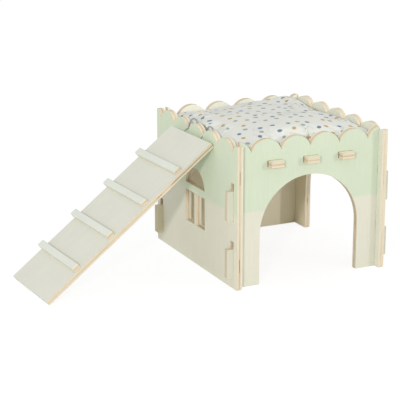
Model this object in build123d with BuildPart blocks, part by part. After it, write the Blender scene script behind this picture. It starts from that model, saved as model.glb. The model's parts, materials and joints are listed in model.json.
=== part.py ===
from build123d import *
from math import asin, cos, degrees, pi, radians, sin, tan
import os

os.makedirs("parts", exist_ok=True)

# A wooden rabbit house that slots together, with a cushion on its roof and a ramp tied to one side.
# All sizes are in millimetres.
# X runs from the ramp side to the doorway side, Y from the front to the back and Z upwards.
# The origin is on the floor, in the middle of the outline of house and ramp together.

# House
ply = 12.0
house_w = 325.0
house_d = 362.0
panel_inset = 14.0
panel_gap = 0.4
deck_z = 230.0
parapet = 21.2
end_scallop_pitch = 63.2
end_scallop_rise = 23.0
side_scallop_pitch = 64.0
side_scallop_rise = 21.0
side_end_rise = 15.3

# Hooks of the front and back panels, and their slots in the side panels
hook_levels = [20.0, 133.0]
hook_height = 58.0
hook_drop = 14.0
hook_reach = 13.0
hook_corner = 3.0
hook_gap = 0.3
hook_slot_play = 0.5

# Deck and its tabs, which pass through slots in the front and back panels
deck_gap = 0.5
tab_count = 3
tab_w = 26.5
tab_pitch = 76.5
tab_shift = -0.3
tab_reach = 14.0
tab_play_side = 2.2
tab_play_top = 0.5

# Openings in the panels
arch_r = 107.0
arch_spring_z = 99.0
door_r = 111.0
door_spring_z = 97.0
window_w = 87.0
window_sill_z = 79.5
window_spring_z = 152.4
window_bar_z = 144.0
window_bar_h = 14.5
window_mullion_w = 7.5

# Ramp and its cleats
ramp_len = 430.0
ramp_w = 163.5
ramp_t = 10.0
ramp_turn = 3.0
ramp_near = 97.1
ramp_drop = 5.9
ramp_gap = 0.3
cleat_count = 4
cleat_pitch = 88.0
cleat_w = 14.0
cleat_h = 10.0
cleat_len = 166.5
cleat_inset = 3.8
cleat_round = 2.0

# Cord that ties the ramp to two notches
tie_d = 2.4
tie_hole_play = 0.4
tie_hole_tilt = 30.0
tie_edge_r = 7.2
tie_lip_r = 4.0
tie_behind = 2.5
tie_over = 3.8
tie_notches = [2, 3]
tie_tail = 5.0
knot_r = 3.0
knot_gap = 0.3

# Cushion
cushion_gap = 5.0
cushion_seat = 0.3
cushion_h = 54.0
cushion_corner = 24.0

# Places that follow from the sizes
inner_w = house_w - 2 * ply
notch_z = deck_z + ply + parapet
scallop_top_z = notch_z + side_scallop_rise
slope = asin((notch_z - ramp_drop) / ramp_len)
turn = radians(ramp_turn)
uphill = Vector(cos(turn) * cos(slope), sin(turn) * cos(slope), sin(slope))
across = Vector(-sin(turn), cos(turn), 0)
ramp_up = Vector(-cos(turn) * sin(slope), -sin(turn) * sin(slope), cos(slope))

# Outline along X: the ramp's far foot on one side, the hooks on the other
reach_left = ramp_gap + ramp_len * uphill.X + ramp_w * sin(turn) + ramp_t * -ramp_up.X
reach_right = house_w + hook_reach
left_x = (reach_left - reach_right) / 2
right_x = left_x + house_w
mid_x = left_x + house_w / 2
front_y = -house_d / 2
back_y = house_d / 2
ramp_corner = Vector(left_x - ramp_gap, front_y + ramp_near, notch_z - ramp_drop)
ramp_plane = Plane(origin=ramp_corner, x_dir=uphill, z_dir=ramp_up)


def facing_front(y):
    # A drawing plane with X to the right and Z up, looked at from the front
    return Plane(origin=(mid_x, y, 0), x_dir=(1, 0, 0), z_dir=(0, -1, 0))


def facing_side(x):
    # A drawing plane with Y to the right and Z up, which grows towards +X
    return Plane(origin=(x, 0, 0), x_dir=(0, 1, 0), z_dir=(1, 0, 0))


def draw_scalloped_board(width, pitch, rise, end_z):
    # Whole scallops fill the middle, and part of one more runs out at each end
    whole = int(width // pitch)
    rest = (width - whole * pitch) / 2
    radius = ((pitch / 2) ** 2 + rise**2) / (2 * rise)
    Rectangle(width, scallop_top_z - rise, align=(Align.CENTER, Align.MIN))
    with Locations((0, scallop_top_z - radius)):
        with GridLocations(pitch, pitch, whole + 2, 1):
            Circle(radius)
    Rectangle(width, scallop_top_z, align=(Align.CENTER, Align.MIN), mode=Mode.INTERSECT)
    with Locations((-(width - rest) / 2, end_z), ((width - rest) / 2, end_z)):
        Rectangle(rest, rise, align=(Align.CENTER, Align.MIN), mode=Mode.SUBTRACT)


def draw_end_panel():
    # Board between the side panels, with its hooks and the slots for the deck's tabs
    board_w = inner_w - 2 * panel_gap
    draw_scalloped_board(board_w, end_scallop_pitch, end_scallop_rise, scallop_top_z)
    neck = ply + hook_reach + panel_gap
    lip = hook_reach - hook_gap
    for side, inward in ((-1, Align.MIN), (1, Align.MAX)):
        for level in hook_levels:
            with Locations((side * (house_w / 2 + hook_reach), level)):
                Rectangle(lip, hook_height, align=(inward, Align.MIN))
            with Locations((side * (house_w / 2 + hook_reach), level + hook_drop)):
                Rectangle(neck, hook_height - hook_drop, align=(inward, Align.MIN))
    slot_w = tab_w + 2 * tab_play_side
    with Locations((tab_shift, deck_z + (ply + tab_play_top) / 2)):
        with GridLocations(tab_pitch, tab_pitch, tab_count, 1):
            Rectangle(slot_w, ply + tab_play_top, mode=Mode.SUBTRACT)


def hook_tips(corners):
    # The lower outer corner of each hook
    tips = ShapeList()
    for outer in (corners.group_by(Axis.X)[0], corners.group_by(Axis.X)[-1]):
        rows = outer.group_by(Axis.Y)
        tips += rows[0] + rows[2]
    return tips


def draw_side_panel():
    # Board over the full depth, with two slots near each edge for the hooks
    draw_scalloped_board(house_d, side_scallop_pitch, side_scallop_rise, notch_z + side_end_rise)
    slot_y = house_d / 2 - panel_inset - ply / 2
    slot_h = hook_height + hook_slot_play
    for level in hook_levels:
        with Locations((-slot_y, level + hook_drop), (slot_y, level + hook_drop)):
            Rectangle(
                ply + 2 * hook_slot_play,
                slot_h,
                align=(Align.CENTER, Align.MIN),
                mode=Mode.SUBTRACT,
            )


def draw_archway(radius, spring_z):
    # Opening that stands on the floor, with a half-round top
    Rectangle(2 * radius, spring_z, align=(Align.CENTER, Align.MIN), mode=Mode.SUBTRACT)
    with Locations((0, spring_z)):
        Circle(radius, mode=Mode.SUBTRACT)


# Left side panel, with the barred window under the ramp
with BuildPart() as left_side_panel:
    with BuildSketch(facing_side(left_x)):
        draw_side_panel()
    extrude(amount=ply)
    with BuildSketch(facing_side(left_x)):
        with Locations((0, window_sill_z)):
            Rectangle(
                window_w,
                window_spring_z - window_sill_z,
                align=(Align.CENTER, Align.MIN),
            )
        with Locations((0, window_spring_z)):
            Circle(window_w / 2)
        with Locations((0, window_bar_z)):
            Rectangle(
                window_w,
                window_bar_h,
                align=(Align.CENTER, Align.MIN),
                mode=Mode.SUBTRACT,
            )
            Rectangle(
                window_mullion_w,
                window_bar_z - window_sill_z,
                align=(Align.CENTER, Align.MAX),
                mode=Mode.SUBTRACT,
            )
    extrude(amount=ply, mode=Mode.SUBTRACT)

# Right side panel, with the large doorway
with BuildPart() as right_side_panel:
    with BuildSketch(facing_side(right_x - ply)):
        draw_side_panel()
        draw_archway(door_r, door_spring_z)
    extrude(amount=ply)

# Front panel, with the arched entrance
with BuildPart() as front_panel:
    with BuildSketch(facing_front(front_y + panel_inset)) as front_outline:
        draw_end_panel()
        draw_archway(arch_r, arch_spring_z)
        fillet(hook_tips(front_outline.vertices()), hook_corner)
    extrude(amount=-ply)

# Back panel, closed below the deck
with BuildPart() as back_panel:
    with BuildSketch(facing_front(back_y - panel_inset - ply)) as back_outline:
        draw_end_panel()
        fillet(hook_tips(back_outline.vertices()), hook_corner)
    extrude(amount=-ply)

# Deck, which hangs by its tabs in the slots of the front and back panels
with BuildPart() as deck:
    well_d = house_d - 2 * (panel_inset + ply)
    with BuildSketch(Plane(origin=(mid_x, 0, deck_z))):
        Rectangle(inner_w - 2 * deck_gap, well_d - 2 * deck_gap)
        with Locations((tab_shift, 0)):
            with GridLocations(tab_pitch, tab_pitch, tab_count, 1):
                Rectangle(tab_w, well_d + 2 * (ply + tab_reach))
    extrude(amount=ply)

# Ramp, lying on its foot with its top end hung from the notches
tie_lift = tie_hole_tilt * pi / 180
tie_pull = uphill * cos(tie_lift) + ramp_up * sin(tie_lift)
tie_z = notch_z + tie_over
tie_length_out = (tie_z - ramp_corner.Z - ramp_t / 2 * ramp_up.Z) / tie_pull.Z
side_notch_0 = -(int(house_d // side_scallop_pitch) * side_scallop_pitch) / 2
tie_ys = [side_notch_0 + n * side_scallop_pitch for n in tie_notches]


def above_ramp_end(notch_y):
    # Where the cord, pulled straight out of its hole in the ramp, reaches the notch's height
    start = ramp_corner + ramp_up * (ramp_t / 2) + tie_pull * tie_length_out
    return start + across * ((notch_y - start.Y) / across.Y)


with BuildPart() as ramp_board:
    with BuildSketch(ramp_plane):
        Rectangle(ramp_len, ramp_w, align=(Align.MAX, Align.MIN))
    extrude(amount=ramp_t)
    for notch_y in tie_ys:
        with BuildSketch(Plane(origin=above_ramp_end(notch_y), z_dir=tie_pull)):
            Circle(tie_d / 2 + tie_hole_play)
        extrude(amount=-(tie_length_out + 2 * ramp_t / sin(tie_lift)), mode=Mode.SUBTRACT)

# Cleats across the ramp, the first one nearest the foot
cleats = []
for index in range(cleat_count):
    with BuildPart() as ramp_cleat:
        place = -ramp_len / 2 + (index - (cleat_count - 1) / 2) * cleat_pitch
        with BuildSketch(ramp_plane.offset(ramp_t)):
            with Locations((place, cleat_inset)):
                Rectangle(cleat_w, cleat_len, align=(Align.CENTER, Align.MIN))
        extrude(amount=cleat_h)
        cleat_top = ramp_cleat.faces().sort_by(Axis((0, 0, 0), ramp_up))[-1]
        fillet(cleat_top.edges(), cleat_round)
    ramp_cleat.part.label = f"ramp_cleat_{index + 1}"
    cleats.append(ramp_cleat)

# Cord: knotted under the ramp, over one notch, slack behind the scallops, back over the next notch
tie_x = left_x + ply + tie_behind
slack = [
    (9.0, 4.0),
    (14.5, 8.5),
    (13.5, 15.5),
    (6.5, 18.5),
    (-3.0, 17.0),
    (-11.5, 11.5),
    (-20.0, 4.5),
    (-31.0, -1.5),
    (-47.0, -6.5),
    (-62.0, -9.0),
    (-74.0, -6.5),
    (-82.5, 1.5),
    (-83.5, 11.0),
    (-77.5, 17.5),
    (-68.0, 18.0),
    (-62.0, 11.5),
]
first = above_ramp_end(tie_ys[1])
last = above_ramp_end(tie_ys[0])
below = -(tie_length_out + (ramp_t / 2 + knot_r + knot_gap) / sin(tie_lift))
knots = [first + tie_pull * below, last + tie_pull * below]
tails = [knot - tie_pull * (knot_r + tie_tail) for knot in knots]
tie_points = [tails[0], first, Vector(tie_x, tie_ys[1], tie_z)]
tie_points += [Vector(tie_x, tie_ys[1] + y, tie_z + z) for y, z in slack]
tie_points += [Vector(tie_x, tie_ys[0], tie_z), last, tails[1]]


def bend_radius(before, corner, after):
    # As large as the shorter of the two runs allows
    half_turn = radians((corner - before).get_angle(after - corner)) / 2
    return 0.45 * min((corner - before).length, (after - corner).length) / tan(half_turn)


tie_radii = [
    bend_radius(tie_points[n - 1], tie_points[n], tie_points[n + 1])
    for n in range(1, len(tie_points) - 1)
]
tie_radii[0] = min(tie_radii[0], tie_edge_r)
tie_radii[-1] = min(tie_radii[-1], tie_edge_r)
tie_radii[1] = min(tie_radii[1], tie_lip_r)
tie_radii[-2] = min(tie_radii[-2], tie_lip_r)

with BuildPart() as ramp_tie:
    with BuildLine() as tie_path:
        FilletPolyline(*tie_points, radius=tie_radii)
    with BuildSketch(Plane(origin=tails[0], z_dir=tie_pull)):
        Circle(tie_d / 2)
    sweep(path=tie_path.wire())
    tie_tube_volume = ramp_tie.part.volume
    with Locations(*[Location(Plane(origin=knot, z_dir=tie_pull)) for knot in knots]):
        Sphere(knot_r)

# Cushion: rounded level by level from its seat to its crown, with the sides drawn in
cushion_w = inner_w - 2 * cushion_gap
cushion_d = house_d - 2 * (panel_inset + ply + cushion_gap)
cushion_z = deck_z + ply + cushion_seat
# Share of the height, inset from the widest level, and how far the sides are drawn in
cushion_levels = [
    (0.00, 15.0, 4.0),
    (0.12, 4.5, 5.0),
    (0.30, 0.0, 5.0),
    (0.50, 3.5, 4.5),
    (0.68, 14.0, 3.0),
    (0.81, 30.0, 1.0),
    (0.90, 49.0, -1.0),
    (0.955, 70.0, -3.0),
    (0.985, 92.0, -4.5),
    (1.00, 115.0, -6.0),
]
with BuildPart() as cushion:
    for share, inset, draw in cushion_levels:
        half_w = cushion_w / 2 - inset
        half_d = cushion_d / 2 - inset
        with BuildSketch(Plane(origin=(mid_x, 0, cushion_z + share * cushion_h))) as level:
            with BuildLine():
                ThreePointArc((-half_w, -half_d), (0, -half_d + draw), (half_w, -half_d))
                ThreePointArc((half_w, -half_d), (half_w - draw, 0), (half_w, half_d))
                ThreePointArc((half_w, half_d), (0, half_d - draw), (-half_w, half_d))
                ThreePointArc((-half_w, half_d), (-half_w + draw, 0), (-half_w, -half_d))
            make_face()
            fillet(level.vertices(), min(cushion_corner, 0.7 * min(half_w, half_d)))
    loft()

left_side_panel.part.label = "left_side_panel"
right_side_panel.part.label = "right_side_panel"
front_panel.part.label = "front_panel"
back_panel.part.label = "back_panel"
deck.part.label = "deck"
ramp_board.part.label = "ramp_board"
ramp_tie.part.label = "ramp_tie"
cushion.part.label = "cushion"

export_step(left_side_panel.part, "parts/left_side_panel.step")
export_step(right_side_panel.part, "parts/right_side_panel.step")
export_step(front_panel.part, "parts/front_panel.step")
export_step(back_panel.part, "parts/back_panel.step")
export_step(deck.part, "parts/deck.step")
export_step(ramp_board.part, "parts/ramp_board.step")
for ramp_cleat in cleats:
    export_step(ramp_cleat.part, f"parts/{ramp_cleat.part.label}.step")
export_step(ramp_tie.part, "parts/ramp_tie.step")
export_step(cushion.part, "parts/cushion.step")

print("left panel at x", round(left_x, 3), "ramp slope", round(degrees(slope), 3))
print("ramp corner", [round(value, 3) for value in ramp_corner])
print("cord bends", [round(radius, 2) for radius in tie_radii])
tie_len = tie_path.wire().length
print("cord length", round(tie_len, 1))
print("cord volume over section times length", tie_tube_volume / (pi * tie_d**2 / 4 * tie_len))
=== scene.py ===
import bpy
import bmesh
import json
import math
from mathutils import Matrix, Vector


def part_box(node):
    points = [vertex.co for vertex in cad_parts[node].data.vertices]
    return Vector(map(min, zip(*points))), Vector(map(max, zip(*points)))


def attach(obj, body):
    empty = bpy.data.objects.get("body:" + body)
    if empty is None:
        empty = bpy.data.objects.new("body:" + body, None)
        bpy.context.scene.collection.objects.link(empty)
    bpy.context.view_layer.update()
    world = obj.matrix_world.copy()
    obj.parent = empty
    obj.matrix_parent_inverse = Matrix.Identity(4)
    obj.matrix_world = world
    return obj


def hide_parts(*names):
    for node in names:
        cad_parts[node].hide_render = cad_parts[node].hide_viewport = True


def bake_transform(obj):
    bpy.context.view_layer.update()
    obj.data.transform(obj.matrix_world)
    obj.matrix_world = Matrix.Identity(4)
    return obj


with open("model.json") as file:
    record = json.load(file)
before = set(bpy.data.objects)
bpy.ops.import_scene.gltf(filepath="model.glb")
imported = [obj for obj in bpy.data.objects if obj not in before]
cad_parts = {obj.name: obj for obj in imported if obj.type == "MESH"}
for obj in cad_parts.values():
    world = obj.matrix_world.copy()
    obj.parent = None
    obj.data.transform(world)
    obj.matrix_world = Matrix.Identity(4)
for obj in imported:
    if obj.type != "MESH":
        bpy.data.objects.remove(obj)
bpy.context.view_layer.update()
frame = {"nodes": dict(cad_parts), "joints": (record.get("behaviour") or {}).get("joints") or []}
scene = bpy.context.scene

# Sizes of the solids, in metres
PLY = 0.012
RAMP_T = 0.010
LEFT_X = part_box("left_side_panel")[0][0]
RIGHT_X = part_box("right_side_panel")[1][0]
FRONT_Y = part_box("left_side_panel")[0][1]
BACK_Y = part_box("left_side_panel")[1][1]
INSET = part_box("front_panel")[0][1] - FRONT_Y
DECK_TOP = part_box("deck")[1][2]
MID_X = (LEFT_X + RIGHT_X) / 2
RAMP_LEN = 0.430
CLEATS = 4
NOTCH_Y = 0.032  # the cord's two notches, behind and in front of the middle
CORD_R = 0.0012

# The scene's own
PAINT_LINE_Z = 0.1475  # where green meets cream
CUSHION_AIR = 0.0004  # between deck and cushion
CLOTH_EASE = 1.035  # the cushion's flat sheets against the well that it fills
SEAM = 0.024  # the cushion's seam above the deck
CROWN = 0.0535  # and its highest point, before the filling slumps
RIM_AIR = 0.002  # between the cushion's rim and the panels


def linear(r, g, b):
    """A colour given as it is seen on a screen, as Blender's own linear colour."""
    out = []
    for value in (r, g, b):
        value /= 255
        out.append(value / 12.92 if value <= 0.04045 else ((value + 0.055) / 1.055) ** 2.4)
    return (*out, 1.0)


# Material tools


class Tree:
    """Short names for the nodes that the materials below are made of."""

    def __init__(self, name):
        self.material = bpy.data.materials.new(name)
        self.material.use_nodes = True
        self.nodes = self.material.node_tree.nodes
        self.links = self.material.node_tree.links
        self.shader = self.nodes["Principled BSDF"]
        self.coord = self.nodes.new("ShaderNodeTexCoord")

    def put(self, socket, value):
        if isinstance(value, bpy.types.NodeSocket):
            self.links.new(value, socket)
        elif value is not None:
            socket.default_value = value

    def math(self, operation, a, b=None):
        node = self.nodes.new("ShaderNodeMath")
        node.operation = operation
        self.put(node.inputs[0], a)
        self.put(node.inputs[1], b)
        return node.outputs[0]

    def vector(self, operation, a, b=None, scale=None):
        node = self.nodes.new("ShaderNodeVectorMath")
        node.operation = operation
        self.put(node.inputs[0], a)
        self.put(node.inputs[1], b)
        if scale is not None:
            self.put(node.inputs["Scale"], scale)
        return node.outputs["Value" if operation == "DOT_PRODUCT" else "Vector"]

    def split(self, vector):
        node = self.nodes.new("ShaderNodeSeparateXYZ")
        self.put(node.inputs[0], vector)
        return node.outputs

    def join(self, x, y, z):
        node = self.nodes.new("ShaderNodeCombineXYZ")
        for socket, value in zip(node.inputs, (x, y, z)):
            self.put(socket, value)
        return node.outputs[0]

    def noise(self, vector, scale, detail=3.0, rough=0.5, colour=False):
        node = self.nodes.new("ShaderNodeTexNoise")
        self.put(node.inputs["Vector"], vector)
        node.inputs["Scale"].default_value = scale
        node.inputs["Detail"].default_value = detail
        node.inputs["Roughness"].default_value = rough
        return node.outputs["Color" if colour else "Fac"]

    def ramp(self, fac, stops, interpolation="LINEAR"):
        node = self.nodes.new("ShaderNodeValToRGB")
        node.color_ramp.interpolation = interpolation
        elements = node.color_ramp.elements
        while len(elements) < len(stops):
            elements.new(0.5)
        for element, (place, colour) in zip(elements, stops):
            element.position = place
            element.color = colour
        self.put(node.inputs[0], fac)
        return node.outputs[0]

    def smooth(self, value, low, high, out_low=0.0, out_high=1.0):
        node = self.nodes.new("ShaderNodeMapRange")
        node.interpolation_type = "SMOOTHSTEP"
        for socket, number in zip(node.inputs, (value, low, high, out_low, out_high)):
            self.put(socket, number)
        return node.outputs[0]

    def mix(self, fac, a, b, blend="MIX"):
        node = self.nodes.new("ShaderNodeMix")
        node.data_type = "RGBA"
        node.blend_type = blend
        self.put(node.inputs[0], fac)
        self.put(node.inputs[6], a)
        self.put(node.inputs[7], b)
        return node.outputs[2]

    def bump(self, height, strength, distance, normal=None):
        node = self.nodes.new("ShaderNodeBump")
        node.inputs["Strength"].default_value = strength
        node.inputs["Distance"].default_value = distance
        self.put(node.inputs["Height"], height)
        self.put(node.inputs["Normal"], normal)
        return node.outputs[0]


# Colours of the paints and the bare wood
GREEN = linear(209, 219, 194)
CREAM = linear(223, 221, 203)
INSIDE = linear(238, 231, 206)
BARE = linear(206, 180, 136)
# Painted shade: the hooks' coat is darker for the shadow that falls on them
HOOK_PAINTED_SHADE = linear(224, 215, 184)
DECK_PAINT = linear(238, 235, 216)
PARAPET = linear(240, 239, 223)
STRIP = linear(225, 226, 210)
RAMP_PAINT = linear(227, 227, 214)
CLEAT_PAINT = linear(230, 233, 222)
EDGE_LIGHT = linear(234, 222, 196)
EDGE_PALE = linear(230, 214, 186)
EDGE_CORE = linear(220, 198, 162)
EDGE_LINE = linear(203, 175, 138)
EDGE_VOID = linear(112, 76, 48)


def wood(
    name, across, start, along, outside=None, outer=None, inner=None, seed=0.0, thick=PLY,
    split=None, plainer=0.0, rim=None, ends=None,
):
    """Painted plywood. across is the direction through the board, start its place at the board's first
    face, along the direction of the face grain, outside which way the painted face looks. outer and inner
    are functions that give a face's colour from the tree and the place. split adds to the chance that the
    middle layer stands open, and plainer fades the layers out. rim is the colour that laps
    over from the second face. ends is the direction of the only bare sides, where the others are painted."""
    tree = Tree(name)
    place = tree.coord.outputs["Object"]
    normal = tree.coord.outputs["Normal"]
    facing = tree.vector("DOT_PRODUCT", normal, across)
    is_face = tree.math("GREATER_THAN", tree.math("ABSOLUTE", facing), 0.85)
    if ends is not None:
        is_face = tree.math("LESS_THAN", tree.math("ABSOLUTE", tree.vector("DOT_PRODUCT", normal, ends)), 0.5)
    beyond = tree.math("SUBTRACT", tree.vector("DOT_PRODUCT", place, across), start)
    depth = tree.math("DIVIDE", beyond, thick)
    moved = tree.vector("ADD", place, (seed, seed * 0.7, seed * 1.3))

    # Faces: paint over fine long grain, which shows through a little
    run = tree.vector("DOT_PRODUCT", moved, along)
    run = tree.math("MULTIPLY", run, 0.94)
    squeezed = tree.vector("SUBTRACT", moved, tree.vector("SCALE", tree.join(*along), scale=run))
    grain = tree.noise(squeezed, 330.0, 5.0, 0.62)
    cloud = tree.noise(moved, 14.0, 3.0, 0.5)
    paint = outer(tree, place, moved)
    if outside is not None:
        looks_out = tree.math("GREATER_THAN", tree.vector("DOT_PRODUCT", normal, outside), 0.5)
        paint = tree.mix(looks_out, inner(tree, place, moved), paint)
    fine = tree.smooth(grain, 0.3, 0.75, 0.972, 1.012)
    shade = tree.math("ADD", fine, tree.smooth(cloud, 0.3, 0.7, -0.012, 0.012))
    paint = tree.mix(1.0, paint, tree.join(shade, shade, shade), "MULTIPLY")

    # Edges: two pale face layers, a darker middle one with glue lines and a few dark gaps
    wander = tree.noise(moved, 34.0, 2.0, 0.5)
    level = tree.math("ADD", depth, tree.math("MULTIPLY", tree.math("SUBTRACT", wander, 0.5), 0.07))
    layers = tree.ramp(
        level,
        [
            (0.0, EDGE_CORE),
            (0.07, EDGE_LIGHT),
            (0.36, EDGE_LIGHT),
            (0.43, EDGE_LINE),
            (0.55, EDGE_CORE),
            (0.64, EDGE_PALE),
            (0.80 if rim else 0.93, EDGE_LIGHT),
            (0.88 if rim else 1.0, rim or EDGE_CORE),
        ],
    )
    fade = tree.noise(moved, 9.0, 2.0, 0.5)
    layers = tree.mix(tree.smooth(fade, 0.35, 0.65, plainer, plainer + 0.5), layers, EDGE_LIGHT)
    fibre = tree.noise(squeezed, 700.0, 3.0, 0.6)
    rough_edge = tree.smooth(fibre, 0.3, 0.7, 0.93, 1.03)
    layers = tree.mix(1.0, layers, tree.join(rough_edge, rough_edge, rough_edge), "MULTIPLY")
    gaps = tree.noise(moved, 26.0, 1.0, 0.4)
    if split is not None:
        gaps = tree.math("ADD", gaps, split(tree, place))
    in_core = tree.math("MULTIPLY", tree.smooth(level, 0.41, 0.46), tree.smooth(level, 0.56, 0.51))
    gap = tree.math("MULTIPLY", in_core, tree.smooth(gaps, 0.665, 0.72))
    layers = tree.mix(tree.math("MULTIPLY", gap, 0.8), layers, EDGE_VOID)
    # Painted shade: edges that face down are darkened and edges that face up kept light, by which way each
    # one faces
    wear_and_shade = tree.smooth(tree.split(normal)[2], -0.2, 0.8, 0.86, 1.0)
    layers = tree.mix(1.0, layers, tree.join(wear_and_shade, wear_and_shade, wear_and_shade), "MULTIPLY")

    tree.put(tree.shader.inputs["Base Color"], tree.mix(is_face, layers, paint))
    tree.put(tree.shader.inputs["Roughness"], tree.mix(is_face, (0.78, 0.78, 0.78, 1), (0.58, 0.58, 0.58, 1)))
    height = tree.mix(is_face, tree.math("MULTIPLY", fibre, 1.6), grain)
    tree.put(tree.shader.inputs["Normal"], tree.bump(height, 0.22, 0.0004))
    tree.shader.inputs["Specular IOR Level"].default_value = 0.32
    return tree.material


# A lighter or darker copy of a colour: painted light
def painted_light_copy(colour, share):
    return (*(share * value for value in colour[:3]), 1.0)


def two_tone(middle, side_to_side, reach, share, blur=0.003):
    """Green above, cream below, and green no further than reach to each side of middle. share makes both
    paints lighter or darker: painted light, for how brightly that panel is lit.
    """

    def colour(tree, place, moved):
        height = tree.split(place)[2]
        wave = tree.noise(moved, 12.0, 2.0, 0.5)
        height = tree.math("ADD", height, tree.math("MULTIPLY", tree.math("SUBTRACT", wave, 0.5), 0.008))
        above = tree.smooth(height, PAINT_LINE_Z - blur, PAINT_LINE_Z + blur)
        away = tree.math("SUBTRACT", tree.vector("DOT_PRODUCT", place, side_to_side), middle)
        away = tree.math("ABSOLUTE", away)
        above = tree.math("MULTIPLY", above, tree.math("LESS_THAN", away, reach))
        return tree.mix(above, painted_light_copy(CREAM, share), painted_light_copy(GREEN, share))

    return colour


def plain(colour):
    return lambda tree, place, moved: colour


def inside(tree, place, moved):
    """Bright above the deck, a warmer coat below it, and a coat of their own for the parts past the room. The
    hooks past the sides get a darker coat, painted shade for the shadow that falls on them.
    """
    width, depth, height = tree.split(place)
    coat = tree.mix(tree.math("GREATER_THAN", height, DECK_TOP - PLY / 2), INSIDE, PARAPET)
    past_end = tree.math("GREATER_THAN", tree.math("ABSOLUTE", depth), BACK_Y - INSET + 0.0005)
    aside = tree.math("ABSOLUTE", tree.math("SUBTRACT", width, MID_X))
    past_side = tree.math("GREATER_THAN", aside, RIGHT_X - MID_X + 0.0002)
    return tree.mix(past_side, tree.mix(past_end, coat, STRIP), HOOK_PAINTED_SHADE)


def under_and_over(tree, place, moved):
    """The deck: bare wood below and pale paint on top, its tabs too."""
    return tree.mix(tree.math("GREATER_THAN", tree.split(place)[2], DECK_TOP - PLY / 2), BARE, DECK_PAINT)


def dress(node, material):
    node = frame["nodes"][node]
    if not node.material_slots:
        node.data.materials.append(material)
    for slot in node.material_slots:
        slot.material = material
    soften = node.modifiers.new("worn edges", "BEVEL")
    soften.width = 0.0005
    soften.segments = 2
    soften.limit_method = "ANGLE"
    soften.angle_limit = math.radians(50)
    soften.use_clamp_overlap = True


X, Y, Z = (1, 0, 0), (0, 1, 0), (0, 0, 1)
ANYWHERE = 9.0
BETWEEN_SIDES = 0.151
# Painted light: the left panel's paints are made lighter and the front panel's darker than the same paints on
# the other panels
side_left = two_tone(0, Y, ANYWHERE, 1.06, 0.007)
side_right = two_tone(0, Y, ANYWHERE, 1.0)
end_front = two_tone(MID_X, X, BETWEEN_SIDES, 0.945)
end_back = two_tone(MID_X, X, BETWEEN_SIDES, 1.0)
right_start, front_start, back_start = RIGHT_X - PLY, FRONT_Y + INSET, BACK_Y - INSET - PLY
dress("left_side_panel", wood("paint_left", X, LEFT_X, Z, (-1, 0, 0), side_left, inside, 1.0, rim=PARAPET))
dress("right_side_panel", wood("paint_right", X, right_start, Z, X, side_right, inside, 2.0, plainer=0.4))
dress("front_panel", wood("paint_front", Y, front_start, Z, (0, -1, 0), end_front, inside, 3.0, rim=PARAPET))
dress("back_panel", wood("paint_back", Y, back_start, Z, Y, end_back, inside, 4.0))
dress("deck", wood("paint_deck", Z, DECK_TOP - PLY, Y, None, under_and_over, seed=5.0))

# The ramp's own directions, from its hinge
hinge = next(joint for joint in frame["joints"] if joint["name"] == "ramp_hinge")
RAMP_CORNER = Vector(hinge["pos_m"])
ACROSS = Vector(hinge["axis"]).normalized()
SLOPE = math.asin(RAMP_CORNER.z / RAMP_LEN)
UPHILL = Vector((ACROSS.y * math.cos(SLOPE), -ACROSS.x * math.cos(SLOPE), math.sin(SLOPE)))
RAMP_UP = UPHILL.cross(ACROSS)
ramp_start = RAMP_CORNER.dot(RAMP_UP)
ramp_top = RAMP_CORNER.dot(UPHILL)


def ramp_split(tree, place):
    """How open the ramp's middle layer stands: from its top down, and shut further down."""
    run = tree.math("SUBTRACT", ramp_top, tree.vector("DOT_PRODUCT", place, tuple(UPHILL)))
    return tree.smooth(run, 0.165, 0.13, -0.09, 0.32)


cleat_start = ramp_start + RAMP_T - 0.001


def cleat_coat(tree, place, moved):
    """Paint down to a thin bare line along the ramp."""
    above = tree.math("SUBTRACT", tree.vector("DOT_PRODUCT", place, tuple(RAMP_UP)), cleat_start)
    return tree.mix(tree.smooth(above, 0.0022, 0.0034), EDGE_CORE, CLEAT_PAINT)


ramp_up, ramp_along, ramp_across = tuple(RAMP_UP), tuple(UPHILL), tuple(ACROSS)
board = wood(
    "paint_ramp", ramp_up, ramp_start, ramp_along, None, plain(RAMP_PAINT),
    seed=6.0, thick=RAMP_T, split=ramp_split, ends=ramp_across,
)
dress("ramp_board", board)
for index in range(1, CLEATS + 1):
    cleat = wood(
        f"paint_cleat_{index}", ramp_up, cleat_start, ramp_across, None, cleat_coat,
        seed=6.0 + index, ends=ramp_across,
    )
    dress(f"ramp_cleat_{index}", cleat)


# The cushion


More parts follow.
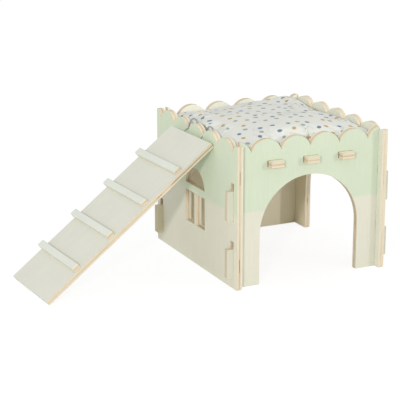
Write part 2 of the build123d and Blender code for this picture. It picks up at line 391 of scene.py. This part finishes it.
def fabric():
    """White cotton with small coloured dots, a fine weave and fine creases, with painted shade in the
    creases.
    """
    tree = Tree("dotted_cotton")
    uv = tree.coord.outputs["UV"]
    # A cell of the print has one dot, and the dot's half sizes are shares of the cell
    cell = 0.0265
    half_long, half_short = 0.200, 0.160
    sheet_place = tree.vector("SCALE", uv, scale=1.0 / cell)
    wobble = tree.noise(sheet_place, 2.2, 1.0, 0.5, colour=True)
    wobble = tree.vector("SCALE", tree.vector("SUBTRACT", wobble, (0.5, 0.5, 0.5)), scale=0.05)
    cells = tree.nodes.new("ShaderNodeTexVoronoi")
    cells.voronoi_dimensions = "2D"
    cells.feature = "F1"
    cells.inputs["Scale"].default_value = 1.0
    cells.inputs["Randomness"].default_value = 0.62
    tree.put(cells.inputs["Vector"], sheet_place)
    offset = tree.vector("SUBTRACT", tree.vector("ADD", sheet_place, wobble), cells.outputs["Position"])
    chance = tree.split(cells.outputs["Color"])
    angle = tree.math("MULTIPLY", tree.math("SUBTRACT", chance[0], 0.5), 2.2)
    ox, oy, _ = tree.split(offset)
    cos, sin = tree.math("COSINE", angle), tree.math("SINE", angle)
    long_way = tree.math("ADD", tree.math("MULTIPLY", ox, cos), tree.math("MULTIPLY", oy, sin))
    short_way = tree.math("SUBTRACT", tree.math("MULTIPLY", oy, cos), tree.math("MULTIPLY", ox, sin))
    reach = tree.math(
        "SQRT",
        tree.math(
            "ADD",
            tree.math("POWER", tree.math("DIVIDE", long_way, half_long), 2.0),
            tree.math("POWER", tree.math("DIVIDE", short_way, half_short), 2.0),
        ),
    )
    dot = tree.smooth(reach, 1.08, 0.82)
    pick = chance[1]
    blue, mustard, sage = linear(98, 124, 152), linear(196, 158, 92), linear(156, 168, 162)
    tint = tree.ramp(pick, [(0.0, blue), (0.36, mustard), (0.72, sage)], "CONSTANT")
    cloth = linear(228, 230, 222)
    threads = tree.vector("SCALE", uv, scale=2200.0)
    tx, ty, _ = tree.split(threads)
    weave = tree.math("MULTIPLY", tree.math("SINE", tx), tree.math("SINE", ty))
    slub = tree.noise(uv, 260.0, 3.0, 0.6)
    base = tree.mix(tree.math("MULTIPLY", dot, 0.93), cloth, tint)
    # Fine creases of cloth that has been sat on, running from side to side, with painted shade along them
    drawn = tree.vector("MULTIPLY", uv, (1.0, 2.1, 1.0))
    near = tree.math("ABSOLUTE", tree.math("SUBTRACT", tree.noise(drawn, 17.0, 2.0, 0.55), 0.5))
    crease = tree.smooth(near, 0.0, 0.022, 1.0, 0.0)
    crease = tree.math("MULTIPLY", crease, tree.smooth(tree.noise(uv, 15.0, 1.0), 0.47, 0.60))
    shade = tree.smooth(slub, 0.3, 0.7, 0.972, 1.01)
    # Painted shade: the colour is darkened a little along the creases
    shade = tree.math("MULTIPLY", shade, tree.smooth(crease, 0.0, 1.0, 1.0, 0.93))
    base = tree.mix(1.0, base, tree.join(shade, shade, shade), "MULTIPLY")
    tree.put(tree.shader.inputs["Base Color"], base)
    tree.shader.inputs["Roughness"].default_value = 0.88
    tree.shader.inputs["Specular IOR Level"].default_value = 0.2
    tree.shader.inputs["Sheen Weight"].default_value = 0.12
    tree.shader.inputs["Sheen Roughness"].default_value = 0.5
    height = tree.math("ADD", tree.math("MULTIPLY", weave, 0.4), slub)
    folded = tree.bump(tree.math("SUBTRACT", 1.0, crease), 0.7, 0.0016)
    tree.put(tree.shader.inputs["Normal"], tree.bump(height, 0.25, 0.0004, folded))
    return tree.material


def flat_pillow(half_x, half_y, corner, thick, steps):
    """Two sheets sewn along their rim, a little apart in the middle. UV holds places on the flat sheet."""
    mesh = bpy.data.meshes.new("cushion")
    builder = bmesh.new()
    uv_layer = builder.loops.layers.uv.new("flat")
    rows = {}
    for side in (1, -1):
        for i in range(steps + 1):
            for j in range(steps + 1):
                u, v = 2 * i / steps - 1, 2 * j / steps - 1
                on_rim = i in (0, steps) or j in (0, steps)
                if on_rim and side == -1:
                    rows[side, i, j] = rows[1, i, j]
                    continue
                # Round the corners by pulling the square's corners in
                x, y = u * half_x, v * half_y
                pull = max(0.0, abs(u) + abs(v) - 1.0) ** 3
                x *= 1 - corner * pull
                y *= 1 - corner * pull
                rise = thick * (1 - u * u) ** 0.6 * (1 - v * v) ** 0.6 if not on_rim else 0.0
                rows[side, i, j] = builder.verts.new((x, y, side * rise))
    for side in (1, -1):
        for i in range(steps):
            for j in range(steps):
                places = [(i, j), (i + 1, j), (i + 1, j + 1), (i, j + 1)]
                ring = [rows[side, a, b] for a, b in places]
                if side == -1:
                    ring.reverse()
                    places.reverse()
                face = builder.faces.new(ring)
                face.smooth = True
                for loop, (a, b) in zip(face.loops, places):
                    u = (2 * a / steps - 1) * half_x + (0.0 if side == 1 else 2.0)
                    v = (2 * b / steps - 1) * half_y
                    loop[uv_layer].uv = (u, v)
    builder.normal_update()
    builder.to_mesh(mesh)
    builder.free()
    obj = bpy.data.objects.new("cushion_stuffed", mesh)
    scene.collection.objects.link(obj)
    return obj


def inflate(obj, pressure, frames):
    """Fill the sewn sheets by cloth simulation and keep the result as the mesh."""
    cloth = obj.modifiers.new("fill", "CLOTH")
    settings = cloth.settings
    settings.quality = 6
    settings.mass = 0.25
    settings.tension_stiffness = 18
    settings.compression_stiffness = 10
    settings.shear_stiffness = 6
    settings.bending_stiffness = 0.35
    settings.tension_damping = 8
    settings.compression_damping = 8
    settings.shear_damping = 8
    settings.bending_damping = 1.0
    settings.air_damping = 3.0
    settings.use_pressure = True
    settings.uniform_pressure_force = pressure
    settings.effector_weights.gravity = 0.0
    cloth.collision_settings.use_collision = False
    cloth.point_cache.frame_start = 1
    cloth.point_cache.frame_end = frames
    for number in range(1, frames + 1):
        scene.frame_set(number)
    shown = obj.evaluated_get(bpy.context.evaluated_depsgraph_get())
    coords = [vertex.co.copy() for vertex in shown.data.vertices]
    obj.modifiers.remove(cloth)
    for vertex, co in zip(obj.data.vertices, coords):
        vertex.co = co
    scene.frame_set(1)


well_x = (RIGHT_X - LEFT_X) / 2 - PLY
well_y = (BACK_Y - FRONT_Y) / 2 - INSET - PLY
cushion = flat_pillow(well_x * CLOTH_EASE, well_y * CLOTH_EASE, corner=0.05, thick=0.006, steps=84)
inflate(cushion, pressure=4.0, frames=30)


def settle(obj, crown, seam):
    """Seat the stuffed sheets in their well: crown up, underside flat on the deck, rim near the panels."""
    reach = [max(vertex.co[k] for vertex in obj.data.vertices) for k in range(3)]
    spread = ((well_x - RIM_AIR) / reach[0], (well_y - RIM_AIR) / reach[1], (crown - seam) / reach[2])
    for vertex in obj.data.vertices:
        x, y, z = (vertex.co[k] * spread[k] for k in range(3))
        vertex.co = Vector((MID_X + x, y, DECK_TOP + CUSHION_AIR + max(seam + z, 0.0)))


def hump(u, v, at_u, at_v, wide_u, wide_v):
    return math.exp(-(((u - at_u) / wide_u) ** 2) - ((v - at_v) / wide_v) ** 2)


def fold(u, v, a, b, depth, wide):
    """A fold from a to b: a narrow groove with a soft roll beside it."""
    mid_u, mid_v = (a[0] + b[0]) / 2, (a[1] + b[1]) / 2
    half = math.hypot(b[0] - a[0], b[1] - a[1]) / 2
    run_u, run_v = (b[0] - a[0]) / (2 * half), (b[1] - a[1]) / (2 * half)
    along = ((u - mid_u) * run_u + (v - mid_v) * run_v) / half
    if abs(along) >= 1:
        return 0.0
    off = (u - mid_u) * run_v - (v - mid_v) * run_u + 0.02 * math.sin(3 * along)
    fade = (1 - along * along) ** 1.5
    roll = 0.6 * math.exp(-(((off - 2.6 * wide) / (1.6 * wide)) ** 2))
    return depth * fade * (roll - math.exp(-((off / wide) ** 2)))


# From, to, depth in metres and width. Places here and below run from -1 to 1 across the well
FOLDS = [
    ((0.70, -0.75), (0.66, 0.35), 0.0036, 0.022),
    ((0.86, -0.60), (0.80, 0.62), 0.0044, 0.022),
    ((0.52, 0.25), (0.62, 0.85), 0.0028, 0.022),
    ((0.99, 0.12), (0.80, -0.20), 0.0070, 0.018),
    ((0.99, -0.08), (0.78, -0.42), 0.0070, 0.018),
    ((1.00, -0.30), (0.88, -0.64), 0.0065, 0.018),
    ((0.76, 0.26), (0.66, -0.02), 0.0045, 0.016),
    ((-0.99, 0.62), (-0.62, 0.40), 0.0045, 0.018),
    ((-0.99, 0.30), (-0.66, 0.16), 0.0050, 0.018),
    ((-0.99, -0.05), (-0.72, -0.14), 0.0045, 0.018),
    ((-0.99, -0.40), (-0.70, -0.36), 0.0040, 0.018),
    ((-0.86, 0.90), (-0.70, 0.60), 0.0034, 0.018),
    ((-0.52, -0.99), (-0.44, -0.72), 0.0036, 0.018),
    ((0.04, -1.00), (0.12, -0.76), 0.0046, 0.016),
    ((0.50, -0.99), (0.44, -0.74), 0.0036, 0.018),
    ((-0.10, 0.99), (0.06, 0.76), 0.0030, 0.018),
]


# Height in metres, place and width of the filling's humps and hollows
HUMPS = [
    (0.010, 0.72, 0.82, 0.30, 0.24),
    (-0.007, 0.95, 0.30, 0.26, 0.42),
    (-0.008, -0.25, 0.78, 0.50, 0.34),
    (-0.003, 0.20, 0.20, 0.60, 0.45),
    (0.003, -0.95, 0.90, 0.22, 0.25),
    (-0.012, 0.88, -0.02, 0.22, 0.40),
    (0.004, 0.84, 0.93, 0.14, 0.12),
]
# And of the cloth tucked in behind the left panel's scallops
TUCKS = [
    (0.004, -0.94, -0.12, 0.11, 0.25),
    (0.006, -0.96, -0.62, 0.09, 0.30),
    (0.005, -0.96, 0.45, 0.09, 0.25),
]


def slump(obj, seam):
    """Pushed about by hand: the filling has gone to the far corner and the cloth has folded by the panels."""
    for vertex in obj.data.vertices:
        u, v = (vertex.co.x - MID_X) / well_x, vertex.co.y / well_y
        over = vertex.co.z - DECK_TOP - CUSHION_AIR - seam
        push = sum(height * hump(u, v, *spot) for height, *spot in HUMPS)
        push += sum(fold(u, v, *one) for one in FOLDS)
        push += 0.0007 * math.sin(9 * u + 4 * v) * math.sin(7 * v - 3 * u)
        tuck = sum(height * hump(u, v, *spot) for height, *spot in TUCKS)
        # Nothing moves at the seam or below it, and the tucks start closer above it
        vertex.co.z += push * min(1.0, max(0.0, over / 0.012)) + tuck * min(1.0, max(0.0, over / 0.004))
        # The middle of the left side drew in most, and is pressed out again to the panel
        pressed = min(1.0, max(0.0, (-u - 0.5) / 0.4)) ** 2
        vertex.co.x -= 0.0065 * math.exp(-((v / 0.24) ** 2)) * pressed


settle(cushion, CROWN, SEAM)
rounder = cushion.modifiers.new("smooth", "SUBSURF")
rounder.levels = 1
rounder.render_levels = 1
finer = bpy.data.meshes.new_from_object(cushion.evaluated_get(bpy.context.evaluated_depsgraph_get()))
cushion.modifiers.remove(rounder)
cushion.data = finer
slump(cushion, SEAM)
for polygon in finer.polygons:
    polygon.use_smooth = True
finer.materials.clear()
finer.materials.append(fabric())
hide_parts("cushion")
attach(cushion, "cushion")


# The ramp's cord


def cord_material():
    tree = Tree("tie_cotton")
    place = tree.coord.outputs["Object"]
    fibre = tree.noise(place, 1500.0, 3.0, 0.6)
    base = tree.mix(tree.smooth(fibre, 0.3, 0.7), linear(120, 134, 142), linear(168, 177, 180))
    tree.put(tree.shader.inputs["Base Color"], base)
    tree.shader.inputs["Roughness"].default_value = 0.85
    tree.shader.inputs["Specular IOR Level"].default_value = 0.2
    tree.put(tree.shader.inputs["Normal"], tree.bump(fibre, 0.4, 0.0002))
    return tree.material


tie_plane_x = LEFT_X + PLY + 0.0025
tie_z = 0.267  # the cord's middle in its notches
lift = math.radians(30)
pull = UPHILL * math.cos(lift) + RAMP_UP * math.sin(lift)
out = (tie_z - RAMP_CORNER.z - RAMP_T / 2 * RAMP_UP.z) / pull.z


def above_ramp_end(notch_y):
    start = RAMP_CORNER + RAMP_UP * (RAMP_T / 2) + pull * out
    return start + ACROSS * ((notch_y - start.y) / ACROSS.y)


# Places on the cord's way in mm from the back notch: up over its lip, then slack in a plane behind the panel
rise = [(0.5, 0.5, 0.6), (3.5, 2.0, 6.5), (8.0, 8.3, 11.0), (12.5, 8.6, 17.0)]
slack = [
    (2.5, 20.0), (-5.0, 19.0), (-11.5, 14.0), (-20.0, 5.5), (-31.0, -1.5), (-47.0, -6.5),
    (-62.0, -9.0), (-74.0, -6.5), (-84.0, 0.5), (-85.5, 10.0), (-80.5, 16.0), (-73.5, 18.3),
    (-65.5, 18.3), (-58.5, 14.0), (-55.0, 7.0), (-58.5, 1.5),
]
first, last = above_ramp_end(NOTCH_Y), above_ramp_end(-NOTCH_Y)
knot_drop = 0.0033  # the knots' middles under the board
below = -(out + (RAMP_T / 2 + knot_drop) / math.sin(lift))
knots = [first + pull * below, last + pull * below]
lip_x = tie_plane_x - 0.004
tail = pull * 0.008
route = [knots[0] - tail, first]
route += [Vector((LEFT_X + x / 1000, NOTCH_Y + y / 1000, tie_z + z / 1000)) for x, y, z in rise]
route += [Vector((tie_plane_x, NOTCH_Y + y / 1000, tie_z + z / 1000)) for y, z in slack]
route += [Vector((tie_plane_x, -NOTCH_Y, tie_z)), Vector((lip_x, -NOTCH_Y, tie_z)), last, knots[1] - tail]


def curve_points(points, count):
    """Points along a smooth open curve that the given points control."""
    data = bpy.data.curves.new("route", "CURVE")
    data.dimensions = "3D"
    data.resolution_u = 24
    spline = data.splines.new("NURBS")
    spline.points.add(len(points) - 1)
    for target, point in zip(spline.points, points):
        target.co = (*point, 1)
    spline.order_u = 3
    spline.use_endpoint_u = True
    holder = bpy.data.objects.new("route", data)
    scene.collection.objects.link(holder)
    mesh = bpy.data.meshes.new_from_object(holder)
    found = [vertex.co.copy() for vertex in mesh.vertices]
    bpy.data.objects.remove(holder)
    bpy.data.curves.remove(data)
    bpy.data.meshes.remove(mesh)
    lengths = [0.0]
    for a, b in zip(found, found[1:]):
        lengths.append(lengths[-1] + (b - a).length)
    out_points, k = [], 0
    for n in range(count + 1):
        wanted = lengths[-1] * n / count
        while k < len(lengths) - 2 and lengths[k + 1] < wanted:
            k += 1
        share = (wanted - lengths[k]) / max(1e-9, lengths[k + 1] - lengths[k])
        out_points.append(found[k].lerp(found[k + 1], min(1.0, max(0.0, share))))
    return out_points, lengths[-1]


def frames_along(points):
    """A direction and two cross directions at each point, turning as little as possible."""
    result = []
    side = None
    for n in range(len(points)):
        ahead = (points[min(n + 1, len(points) - 1)] - points[max(n - 1, 0)]).normalized()
        if side is None:
            side = ahead.orthogonal().normalized()
        side = (side - ahead * side.dot(ahead)).normalized()
        result.append((ahead, side, ahead.cross(side)))
    return result


def add_tube(builder, centres, frames, radius, sides):
    """A closed tube along the centres."""
    rings = []
    for centre, (_, a, b) in zip(centres, frames):
        ring = []
        for s in range(sides):
            t = 2 * math.pi * s / sides
            ring.append(builder.verts.new(centre + (a * math.cos(t) + b * math.sin(t)) * radius))
        rings.append(ring)
    for one, two in zip(rings, rings[1:]):
        for s in range(sides):
            face = builder.faces.new((one[s], one[(s + 1) % sides], two[(s + 1) % sides], two[s]))
            face.smooth = True
    builder.faces.new(list(reversed(rings[0])))
    builder.faces.new(rings[-1])


def laid_cord(name, points, length, radius, strands=3):
    """Strands twisted round each other along the points."""
    builder = bmesh.new()
    strand_r = radius / (1 + 1 / math.sin(math.pi / strands)) * 1.08
    orbit = radius - strand_r
    pitch = radius * 7.0
    around = frames_along(points)
    for strand in range(strands):
        centres = []
        for n, (point, (_, a, b)) in enumerate(zip(points, around)):
            t = 2 * math.pi * (strand / strands + length * n / (len(points) - 1) / pitch)
            centres.append(point + (a * math.cos(t) + b * math.sin(t)) * orbit)
        add_tube(builder, centres, frames_along(centres), strand_r, sides=8)
    mesh = bpy.data.meshes.new(name)
    builder.to_mesh(mesh)
    builder.free()
    obj = bpy.data.objects.new(name, mesh)
    scene.collection.objects.link(obj)
    return obj


tie_points, tie_length = curve_points(route, count=420)
tie = laid_cord("tie_cord", tie_points, tie_length, CORD_R)
tie_colour = cord_material()
tie.data.materials.append(tie_colour)
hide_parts("ramp_tie")


def overhand(name, centre, along):
    """A small tight knot: the cord's own thickness, wound as a trefoil about its centre."""
    side = along.orthogonal().normalized()
    other = along.cross(side)
    wide, deep = 0.00062, 0.0011
    cord_length = 0.03
    steps = 96
    points = []
    for n in range(steps + 1):
        t = 2 * math.pi * n / steps
        x = math.sin(t) + 2 * math.sin(2 * t)
        y = math.cos(t) - 2 * math.cos(2 * t)
        z = -math.sin(3 * t)
        points.append(centre + (side * x + other * y) * wide + along * z * deep)
    obj = laid_cord(name, points, cord_length, CORD_R)
    obj.data.materials.append(tie_colour)
    return obj


for name, centre in (("tie_knot_back", knots[0]), ("tie_knot_front", knots[1])):
    knot = overhand(name, centre, pull)
    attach(knot, "ramp")
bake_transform(tie)


# Floor, light and camera

ground = bpy.data.meshes.new("ground")
floor_reach = 30
corners = [(x * floor_reach, y * floor_reach, 0) for x, y in ((-1, -1), (1, -1), (1, 1), (-1, 1))]
ground.from_pydata(corners, [], [(0, 1, 2, 3)])
floor = bpy.data.objects.new("floor", ground)
floor.location.z = -0.0002  # just clear of the panels' feet
scene.collection.objects.link(floor)
# The camera and glossy faces see a floor near white, and other light meets a plain matt one
floor_tree = Tree("floor_white")
nodes, links = floor_tree.nodes, floor_tree.links
diffuse = nodes.new("ShaderNodeBsdfDiffuse")
diffuse.inputs["Color"].default_value = (0.88, 0.88, 0.87, 1)
glow = nodes.new("ShaderNodeEmission")
glow.inputs["Strength"].default_value = 0.88
path = nodes.new("ShaderNodeLightPath")
seen = floor_tree.math("MAXIMUM", path.outputs["Is Camera Ray"], path.outputs["Is Glossy Ray"])
dim = nodes.new("ShaderNodeBsdfDiffuse")
dim.inputs["Color"].default_value = (0.16, 0.16, 0.16, 1)
bright = nodes.new("ShaderNodeAddShader")
links.new(dim.outputs[0], bright.inputs[0])
links.new(glow.outputs[0], bright.inputs[1])
choose = nodes.new("ShaderNodeMixShader")
links.new(seen, choose.inputs[0])
links.new(diffuse.outputs[0], choose.inputs[1])
links.new(bright.outputs[0], choose.inputs[2])
links.new(choose.outputs[0], nodes["Material Output"].inputs["Surface"])
ground.materials.append(floor_tree.material)

# The camera sees plain white, and the sky lights the house a little less
world = bpy.data.worlds.new("studio")
scene.world = world
world.use_nodes = True
sky_nodes, sky_links = world.node_tree.nodes, world.node_tree.links
sky = sky_nodes["Background"]
sky.inputs["Color"].default_value = (1, 1, 1, 1)
sky.inputs["Strength"].default_value = 0.72
white = sky_nodes.new("ShaderNodeBackground")
white.inputs["Strength"].default_value = 1.0
sky_path = sky_nodes.new("ShaderNodeLightPath")
sky_mix = sky_nodes.new("ShaderNodeMixShader")
sky_links.new(sky_path.outputs["Is Camera Ray"], sky_mix.inputs[0])
sky_links.new(sky.outputs[0], sky_mix.inputs[1])
sky_links.new(white.outputs[0], sky_mix.inputs[2])
sky_links.new(sky_mix.outputs[0], sky_nodes["World Output"].inputs["Surface"])


LAMPS_AIM = Vector((MID_X - 0.05, 0, 0.13))


def lamp(name, azimuth, elevation, distance, size, power):
    """A soft round lamp aimed at the house. Azimuth 0 stands in front, 90 to the right."""
    data = bpy.data.lights.new(name, "AREA")
    data.shape = "DISK"
    data.size = size
    data.energy = power
    obj = bpy.data.objects.new(name, data)
    scene.collection.objects.link(obj)
    a, e = math.radians(azimuth), math.radians(elevation)
    away = Vector((math.sin(a) * math.cos(e), -math.cos(a) * math.cos(e), math.sin(e)))
    obj.location = LAMPS_AIM + away * distance
    obj.rotation_euler = (-away).to_track_quat("-Z", "Y").to_euler()


lamp("key_lamp", 42.0, 15.0, 6.0, 0.5, 64.0)
lamp("left_lamp", -39.0, 17.0, 5.0, 0.3, 83.0)
lamp("right_lamp", 72.0, 22.0, 5.0, 1.5, 13.0)

# Fitted to the photograph: the camera's place from the house's front left foot, and which way it looks
camera_off = (-1.18542, -2.31112, 0.94085)
camera_looks = Vector((0.41517, 0.86504, -0.28167))
camera_data = bpy.data.cameras.new("camera")
camera_data.sensor_width = 36.0
camera_data.lens = 131.68
camera_data.clip_end = 100.0
camera = bpy.data.objects.new("camera", camera_data)
camera.location = (camera_off[0] + LEFT_X, camera_off[1] + FRONT_Y, camera_off[2])
camera.rotation_euler = camera_looks.to_track_quat("-Z", "Y").to_euler()
scene.collection.objects.link(camera)
scene.camera = camera
scene.view_settings.view_transform = "Standard"
